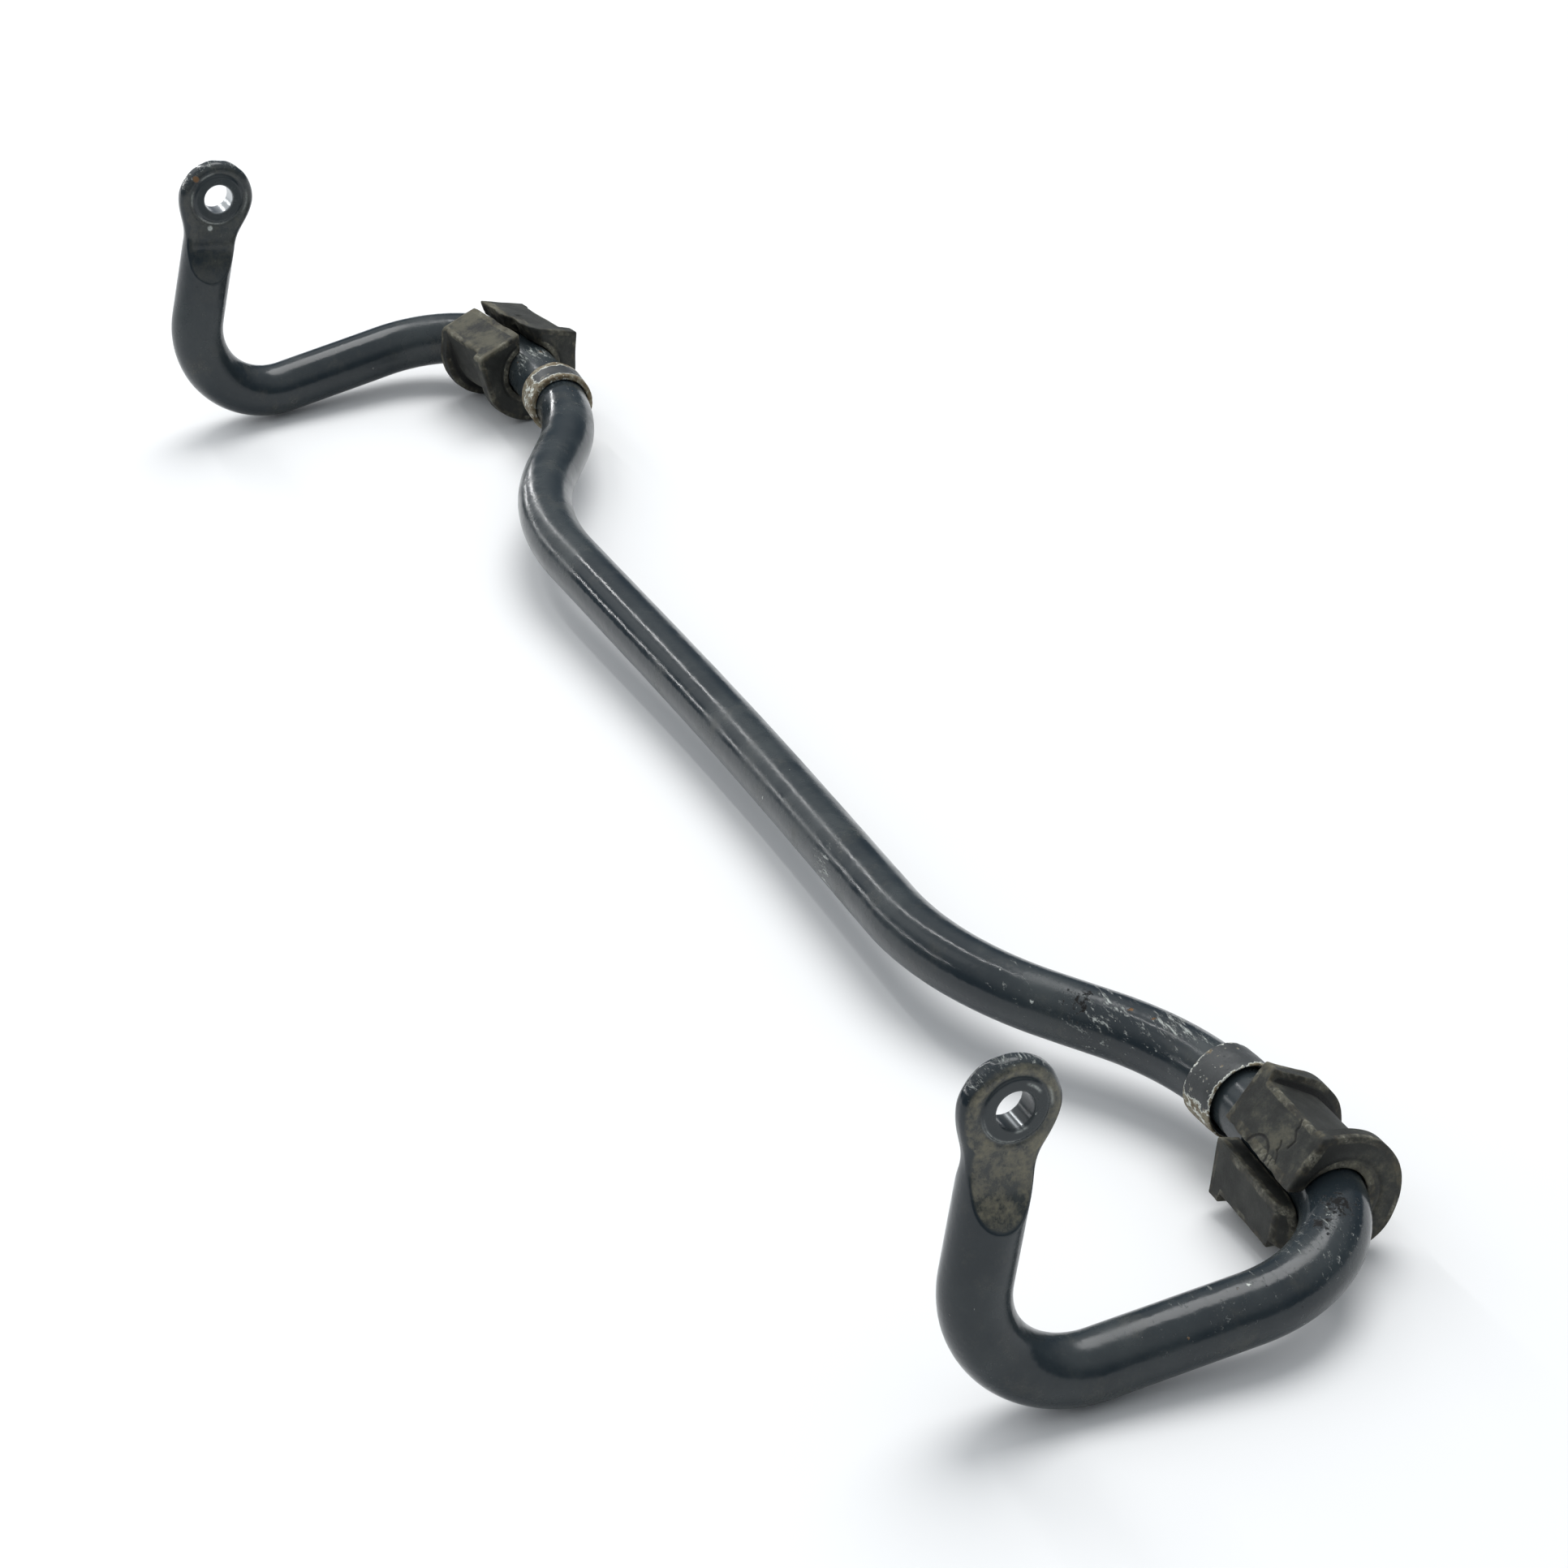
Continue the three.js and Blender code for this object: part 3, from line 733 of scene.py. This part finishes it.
class Paint:
    """A node tree under construction, for one material, with lengths in millimetres."""

    def __init__(self, name):
        self.material = bpy.data.materials.new(name)
        self.material.use_nodes = True
        self.tree = self.material.node_tree
        self.shader = self.tree.nodes["Principled BSDF"]
        self.place = self.number("place", "Vector")

    def node(self, kind, **settings):
        made = self.tree.nodes.new(kind)
        for name, value in settings.items():
            setattr(made, name, value)
        return made

    def feed(self, socket, value):
        if isinstance(value, bpy.types.NodeSocket):
            self.tree.links.new(value, socket)
        else:
            socket.default_value = value

    def number(self, name, output="Fac"):
        return self.node("ShaderNodeAttribute", attribute_name=name).outputs[output]

    def maths(self, operation, a, b, clamp=False):
        made = self.node("ShaderNodeMath", operation=operation, use_clamp=clamp)
        self.feed(made.inputs[0], a)
        self.feed(made.inputs[1], b)
        return made.outputs[0]

    def plus(self, a, b):
        return self.maths("ADD", a, b)

    def minus(self, a, b):
        return self.maths("SUBTRACT", a, b)

    def times(self, a, b, clamp=False):
        return self.maths("MULTIPLY", a, b, clamp)

    def larger(self, a, b):
        return self.maths("MAXIMUM", a, b)

    def moved(self, offset, stretch=(1, 1, 1)):
        """The place on the object, moved so that no two textures line up."""
        made = self.node("ShaderNodeMapping")
        self.feed(made.inputs["Vector"], self.place)
        made.inputs["Location"].default_value = (offset, offset * 1.7, offset * 0.6)
        made.inputs["Scale"].default_value = stretch
        return made.outputs[0]

    def noise(self, size, seed, detail=4.0, roughness=0.6, stretch=(1, 1, 1)):
        """Cloudy noise from 0 to 1, with clouds of about the given size."""
        made = self.node("ShaderNodeTexNoise")
        self.feed(made.inputs["Vector"], self.moved(seed, stretch))
        made.inputs["Scale"].default_value = 1 / size
        made.inputs["Detail"].default_value = detail
        made.inputs["Roughness"].default_value = roughness
        return made.outputs["Fac"]

    def specks(self, spacing, seed):
        """Distance to the nearest of many scattered points, in shares of their spacing."""
        made = self.node("ShaderNodeTexVoronoi")
        self.feed(made.inputs["Vector"], self.moved(seed))
        made.inputs["Scale"].default_value = 1 / spacing
        return made.outputs["Distance"]

    def between(self, value, low, high, to_low=0.0, to_high=1.0):
        """A value's smooth way from to_low, at low, to to_high, at high."""
        made = self.node("ShaderNodeMapRange", interpolation_type="SMOOTHSTEP")
        self.feed(made.inputs["Value"], value)
        for socket, number in zip(made.inputs[1:5], (low, high, to_low, to_high)):
            socket.default_value = number
        return made.outputs[0]

    def mix(self, share, a, b):
        """A share of colour b in colour a. The node keeps its colours at inputs 6 and 7."""
        made = self.node("ShaderNodeMix", data_type="RGBA")
        self.feed(made.inputs[0], share)
        for socket, colour in zip(made.inputs[6:8], (a, b)):
            self.feed(socket, colour if isinstance(colour, bpy.types.NodeSocket) else (*colour, 1))
        return made.outputs[2]

    def blend(self, share, a, b):
        """A share of number b in number a."""
        made = self.node("ShaderNodeMix", data_type="FLOAT")
        self.feed(made.inputs[0], share)
        self.feed(made.inputs[2], a)
        self.feed(made.inputs[3], b)
        return made.outputs[0]

    def relief(self, height, depth, under=None):
        """Bumps of the given depth."""
        made = self.node("ShaderNodeBump")
        made.inputs["Strength"].default_value = 1
        made.inputs["Distance"].default_value = depth * MM
        self.feed(made.inputs["Height"], height)
        if under is not None:
            self.feed(made.inputs["Normal"], under)
        return made.outputs[0]

    def finish(self, colour, roughness, metal, normal):
        self.feed(self.shader.inputs["Base Color"], colour)
        self.feed(self.shader.inputs["Roughness"], roughness)
        self.feed(self.shader.inputs["Metallic"], metal)
        self.feed(self.shader.inputs["Normal"], normal)
        return self.material


ENAMEL_GLOSS = 0.38
ENAMEL = (0.018, 0.025, 0.030)
ENAMEL_FADED = (0.036, 0.045, 0.048)
ROAD_DUST = (0.130, 0.120, 0.088)
RUBBED_TAN = (0.185, 0.170, 0.118)
COINED_GREY = (0.026, 0.033, 0.036)
CHIPPED_AND_HIGHLIGHT = (0.50, 0.53, 0.50)
RUST_SPOT = (0.16, 0.085, 0.036)
BARE_STEEL_AND_HIGHLIGHT = (0.48, 0.50, 0.51)
PITTED = (0.006, 0.006, 0.006)


def enamel():
    """Blue-black enamel: faded and dusty in clouds, chipped and scratched where it is worn."""
    paint = Paint("bar_enamel_worn")
    paint.shader.inputs["Specular IOR Level"].default_value = ENAMEL_GLOSS
    wear = paint.number("worn")
    grain = paint.noise(size=1.6, seed=9, detail=5, roughness=0.7)

    # The enamel itself: faded and dusty, rubbed tan on the flats, coined about the link holes
    faded = paint.between(paint.noise(size=38, seed=3, detail=6), 0.38, 0.72)
    colour = paint.mix(faded, ENAMEL, ENAMEL_FADED)
    clouds = paint.noise(size=17, seed=21, detail=8, roughness=0.75)
    dust = paint.times(paint.between(clouds, 0.5, 0.78), 0.26)
    colour = paint.mix(dust, colour, ROAD_DUST)
    patchy = paint.noise(size=7, seed=33, detail=7, roughness=0.75)
    patchy = paint.between(patchy, 0.36, 0.64, 0.12, 1)
    rubbed = paint.times(paint.number("rubbed"), patchy)
    rubbed = paint.times(rubbed, paint.between(grain, 0.25, 0.65, 0.5, 1))
    colour = paint.mix(rubbed, colour, RUBBED_TAN)
    coined = paint.times(paint.number("coined"), paint.between(patchy, 0.1, 0.9, 1, 0.6))
    colour = paint.mix(coined, colour, COINED_GREY)

    # Chips: scattered specks with ragged edges, larger where the bar is worn
    near = paint.specks(spacing=7, seed=40)
    ragged = paint.noise(size=1.8, seed=44, detail=6, roughness=0.8)
    shape = paint.plus(near, paint.times(ragged, 0.8))
    sparse = paint.between(paint.noise(size=24, seed=50, detail=3), 0.5, 0.7, 0, 0.07)
    limit = paint.plus(sparse, paint.times(wear, 0.17))
    limit = paint.plus(limit, 0.36)
    chips = paint.between(paint.minus(limit, shape), 0.0, 0.03)

    # Scuffs: streaks along the bar, where it is worn
    streaks = paint.noise(size=2.4, seed=61, detail=7, roughness=0.85, stretch=(0.22, 1, 1))
    scuffs = paint.plus(streaks, paint.times(wear, 0.17))
    scuffs = paint.between(scuffs, 0.65, 0.73)
    scuffs = paint.times(scuffs, paint.between(wear, 0.0, 0.5, 0.1, 0.8))
    colour = paint.mix(scuffs, colour, CHIPPED_AND_HIGHLIGHT)
    rusty = paint.between(paint.noise(size=13, seed=70, detail=2), 0.45, 0.6)
    colour = paint.mix(chips, colour, paint.mix(rusty, CHIPPED_AND_HIGHLIGHT, RUST_SPOT))

    # Marks with places of their own: pale arcs that are painted highlights, rust spots, bare bores
    # with painted highlight streaks, and pits
    broken = paint.noise(size=1.1, seed=75, detail=4, roughness=0.8)
    broken = paint.between(broken, 0.3, 0.6, 0.25, 1)
    pale_marks_and_highlights = paint.times(paint.number("pale_marks_and_highlights"), broken, clamp=True)
    colour = paint.mix(pale_marks_and_highlights, colour, CHIPPED_AND_HIGHLIGHT)
    rust = paint.number("rust")
    colour = paint.mix(rust, colour, RUST_SPOT)
    # Bare steel in the left bore, and painted highlight streaks in the right one
    bare_and_highlight = paint.number("bare_and_highlight")
    colour = paint.mix(bare_and_highlight, colour, BARE_STEEL_AND_HIGHLIGHT)
    pits = paint.noise(size=2.2, seed=90, detail=5, roughness=0.7)
    pits = paint.between(paint.plus(pits, paint.times(paint.number("pitted"), 0.3)), 0.68, 0.76)
    colour = paint.mix(pits, colour, PITTED)

    roughness = paint.blend(faded, 0.13, 0.33)
    roughness = paint.blend(pits, roughness, 0.9)
    roughness = paint.blend(dust, roughness, 0.85)
    roughness = paint.blend(rubbed, roughness, 0.55)
    roughness = paint.blend(paint.larger(chips, rust), roughness, 0.6)
    roughness = paint.blend(bare_and_highlight, roughness, 0.3)
    metal = paint.larger(bare_and_highlight, paint.times(chips, 0.5))
    height = paint.minus(paint.times(grain, 0.3), chips)
    height = paint.minus(height, paint.plus(scuffs, pits))
    waves = paint.relief(paint.noise(size=6, seed=80, detail=2), 0.12)
    return paint.finish(colour, roughness, metal, paint.relief(height, 0.09, waves))


OXIDE = (0.25, 0.225, 0.16)
OXIDE_BROWN = (0.125, 0.090, 0.046)
OXIDE_DARK = (0.060, 0.050, 0.035)
OXIDE_PALE = (0.72, 0.74, 0.68)
OLD_PAINT_AND_BORE_SHADE = (0.028, 0.032, 0.033)


def alloy():
    """Oxidised alloy under black paint that has chipped off the edges first."""
    paint = Paint("collar_alloy_worn")
    edge = paint.number("edge")
    ragged = paint.between(paint.noise(size=3.4, seed=5, detail=7, roughness=0.75), 0.3, 0.7)
    left = paint.minus(paint.plus(paint.number("paint"), ragged), 1.0)
    left = paint.minus(left, paint.times(edge, 0.75))
    chipped = paint.between(paint.noise(size=2.8, seed=35, detail=3), 0.63, 0.68, 0, 1.1)
    left = paint.minus(left, chipped)
    painted = paint.between(left, -0.01, 0.01)
    rim = paint.times(paint.between(left, -0.42, -0.12), paint.between(left, 0.02, -0.01))
    mottled = paint.noise(size=3.0, seed=15, detail=7, roughness=0.8)
    colour = paint.mix(paint.between(mottled, 0.44, 0.58), OXIDE_BROWN, OXIDE)
    pits = paint.between(paint.noise(size=1.6, seed=18, detail=5, roughness=0.75), 0.6, 0.68)
    colour = paint.mix(pits, colour, OXIDE_DARK)
    flakes = paint.noise(size=2.1, seed=25, detail=6, roughness=0.8)
    flakes = paint.between(paint.plus(flakes, paint.times(edge, 0.07)), 0.62, 0.67)
    flakes = paint.larger(flakes, rim)
    colour = paint.mix(flakes, colour, OXIDE_PALE)
    # Black of the old paint, and painted shade in the right collar's bore
    colour = paint.mix(painted, colour, OLD_PAINT_AND_BORE_SHADE)
    roughness = paint.blend(painted, 0.6, 0.42)
    metal = paint.blend(painted, 0.25, 0.0)
    height = paint.plus(painted, paint.times(mottled, 0.9))
    height = paint.minus(height, paint.times(pits, 0.5))
    return paint.finish(colour, roughness, metal, paint.relief(height, 0.2))


RUBBER_GLOSS = 0.35
RUBBER = (0.014, 0.015, 0.013)
RUBBER_GREY = (0.038, 0.040, 0.035)
RUBBER_DUST = (0.135, 0.127, 0.092)
RUBBER_PALE = (0.26, 0.25, 0.20)
RUBBER_BROWN = (0.090, 0.066, 0.032)
RUBBER_BLACK = (0.004, 0.004, 0.004)


def rubber():
    """Matt rubber, dusty in patches, pale or brown along its edges from wear and a painted
    highlight, with painted shade in its hollows and dark cracks.
    """
    paint = Paint("bush_rubber_worn")
    paint.shader.inputs["Specular IOR Level"].default_value = RUBBER_GLOSS
    edge = paint.number("edge")
    patches = paint.noise(size=8, seed=41, detail=3)
    # Pale and brown on outer edges: worn edges, and a painted highlight along the ridges.
    worn_edge_and_highlight = paint.times(paint.between(edge, 0.04, 0.22), paint.between(patches, 0.36, 0.6))
    breaks = paint.noise(size=1.2, seed=66, detail=4, roughness=0.8)
    mark = paint.between(paint.minus(paint.number("mark"), breaks), -0.2, 0.3, 0, 0.9)
    # Near black in inner corners as painted shade, and along the cracks and the mould's ring as
    # dark marks.
    hollow = paint.larger(paint.between(edge, -0.08, -0.5), mark)
    broad = paint.noise(size=13, seed=2, detail=6, roughness=0.65)
    fine = paint.noise(size=2.4, seed=12, detail=8, roughness=0.8)
    colour = paint.mix(paint.between(broad, 0.35, 0.7), RUBBER, RUBBER_GREY)
    dusty = paint.plus(broad, paint.times(fine, 0.6))
    dusty = paint.plus(dusty, paint.times(worn_edge_and_highlight, 0.1))
    dusty = paint.plus(dusty, paint.times(paint.number("dusty"), 0.2))
    dusty = paint.between(dusty, 0.84, 1.1, 0, 0.7)
    colour = paint.mix(dusty, colour, RUBBER_DUST)
    browned = paint.times(worn_edge_and_highlight, paint.between(fine, 0.35, 0.65, 0.1, 0.7))
    edge_tint = paint.mix(paint.between(patches, 0.45, 0.55), RUBBER_BROWN, RUBBER_DUST)
    colour = paint.mix(browned, colour, edge_tint)
    # Pale crumbs on the edges: wear, and a painted highlight on the ridges.
    pale_marks_and_highlights = paint.times(worn_edge_and_highlight, paint.between(patches, 0.5, 0.66))
    crumbs = paint.noise(size=1.5, seed=52, detail=6, roughness=0.8)
    pale_marks_and_highlights = paint.times(pale_marks_and_highlights, paint.between(crumbs, 0.46, 0.62, 0, 0.75))
    colour = paint.mix(pale_marks_and_highlights, colour, RUBBER_PALE)
    # Painted shade in the inner corners, and dark cracks and mould ring
    colour = paint.mix(paint.times(hollow, 0.85), colour, RUBBER_BLACK)
    roughness = paint.blend(dusty, 0.66, 0.9)
    height = paint.plus(fine, paint.times(paint.noise(size=0.7, seed=22, detail=3), 0.4))
    return paint.finish(colour, roughness, 0.0, paint.relief(height, 0.3))


# --- Stage ----------------------------------------------------------------------------------------

CAMERA_PLACE = Vector((1.4131, -0.5230, 0.8391))
CAMERA_HEADING = 68.41
CAMERA_DIP = 29.19
CAMERA_ROLL = -3.24
CAMERA_LENS = 100.6
SENSOR = 36
FLOOR_SIZE = 12
FLOOR_COLOUR = (0.89, 0.89, 0.89)
FLOOR_ROUGHNESS = 0.8


def make_camera():
    camera = bpy.data.objects.new("camera", bpy.data.cameras.new("camera"))
    bpy.context.scene.collection.objects.link(camera)
    camera.data.lens = CAMERA_LENS
    camera.data.sensor_width = SENSOR
    aim = Matrix.Rotation(math.radians(CAMERA_HEADING), 3, "Z")
    aim = aim @ Matrix.Rotation(math.radians(90 - CAMERA_DIP), 3, "X")
    aim = aim @ Matrix.Rotation(math.radians(CAMERA_ROLL), 3, "Z")
    camera.matrix_world = Matrix.Translation(CAMERA_PLACE) @ aim.to_4x4()
    bpy.context.scene.camera = camera


def make_floor():
    half = FLOOR_SIZE / 2
    mesh = bpy.data.meshes.new("floor")
    corners = [(-half, -half, 0), (half, -half, 0), (half, half, 0), (-half, half, 0)]
    mesh.from_pydata(corners, [], [(0, 1, 2, 3)])
    floor = bpy.data.objects.new("floor", mesh)
    bpy.context.scene.collection.objects.link(floor)
    material = bpy.data.materials.new("floor_pale")
    material.use_nodes = True
    shader = material.node_tree.nodes["Principled BSDF"]
    shader.inputs["Base Color"].default_value = (*FLOOR_COLOUR, 1)
    shader.inputs["Roughness"].default_value = FLOOR_ROUGHNESS
    mesh.materials.append(material)


# Lights with their long side along the bar: name, place, length, width, watts
STRIPS = [
    ("strip_overhead", (-2.1, -0.25, 1.6), 3.4, 0.05, 14),
    ("strip_low", (-2.1, -1.45, 0.62), 3.4, 0.04, 11),
    ("glow_between", (-2.1, -0.95, 1.25), 3.4, 0.8, 4),
]
SUN_FROM = (-0.35, 0.30, 1.0)
SUN_STRENGTH = 1.6
SUN_SOFTNESS = 38
SKY_HIGH = (0.93, 0.97, 1.0)
SKY_LOW = (0.10, 0.13, 0.17)
SKY_STRENGTH = 0.75
SKY_DIM_UP_TO = 0.22
SKY_BRIGHT_FROM = 0.7


def add_light(name, kind, place, energy):
    """A light that shines at the middle of the floor, its long side along x."""
    light = bpy.data.lights.new(name, kind)
    light.energy = energy
    lamp = bpy.data.objects.new(name, light)
    bpy.context.scene.collection.objects.link(lamp)
    back = Vector(place).normalized()
    along = (Vector((1, 0, 0)) - back * back.x).normalized()
    turn = Matrix((along, back.cross(along), back)).transposed()
    lamp.matrix_world = Matrix.Translation(place) @ turn.to_4x4()
    return light


def make_lights():
    for name, place, length, width, watts in STRIPS:
        strip = add_light(name, "AREA", place, watts)
        strip.shape = "RECTANGLE"
        strip.size = length
        strip.size_y = width
    sun = add_light("soft_sun", "SUN", SUN_FROM, SUN_STRENGTH)
    sun.angle = math.radians(SUN_SOFTNESS)
    make_sky()
    bpy.context.scene.view_settings.view_transform = "Standard"


def make_sky():
    """A studio that is dim near the floor and bright overhead."""
    world = bpy.data.worlds.new("studio")
    world.use_nodes = True
    nodes, links = world.node_tree.nodes, world.node_tree.links
    place = nodes.new("ShaderNodeTexCoord")
    parts = nodes.new("ShaderNodeSeparateXYZ")
    height = nodes.new("ShaderNodeMapRange")
    height.interpolation_type = "SMOOTHSTEP"
    height.inputs["From Min"].default_value = SKY_DIM_UP_TO
    height.inputs["From Max"].default_value = SKY_BRIGHT_FROM
    shade = nodes.new("ShaderNodeMix")
    shade.data_type = "RGBA"
    shade.inputs[6].default_value = (*SKY_LOW, 1)
    shade.inputs[7].default_value = (*SKY_HIGH, 1)
    links.new(place.outputs["Generated"], parts.inputs[0])
    links.new(parts.outputs["Z"], height.inputs["Value"])
    links.new(height.outputs[0], shade.inputs[0])
    background = nodes["Background"]
    links.new(shade.outputs[2], background.inputs["Color"])
    background.inputs["Strength"].default_value = SKY_STRENGTH
    bpy.context.scene.world = world


# --- Assembly -------------------------------------------------------------------------------------

def finish_piece(made, material, slot, *nodes):
    """Give a piece its material and hide the CAD nodes it stands for. slot is not used."""
    made.data.materials.append(material)
    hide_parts(*nodes)


def main():
    make_camera()
    make_floor()
    make_lights()

    bar = make_bar()
    finish_piece(bar, enamel(), "bar_enamel", "sway_bar")
    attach(bar, "bar")

    collar_metal = alloy()
    for name, side, painted in (("right", 1, mostly_painted), ("left", -1, mostly_bare)):
        ring = make_collar(f"{name}_collar_ring", side, painted)
        finish_piece(ring, collar_metal, "collar_alloy", f"{name}_collar")
        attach(ring, "bar")

    bush_material = rubber()
    for name, bush in (("right", RIGHT_BUSH), ("left", LEFT_BUSH)):
        moulding = make_bush(f"{name}_bush_moulding", bush)
        halves = (f"{name}_bush_front_half", f"{name}_bush_rear_half")
        finish_piece(moulding, bush_material, "bush_rubber", *halves)
        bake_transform(moulding)


main()
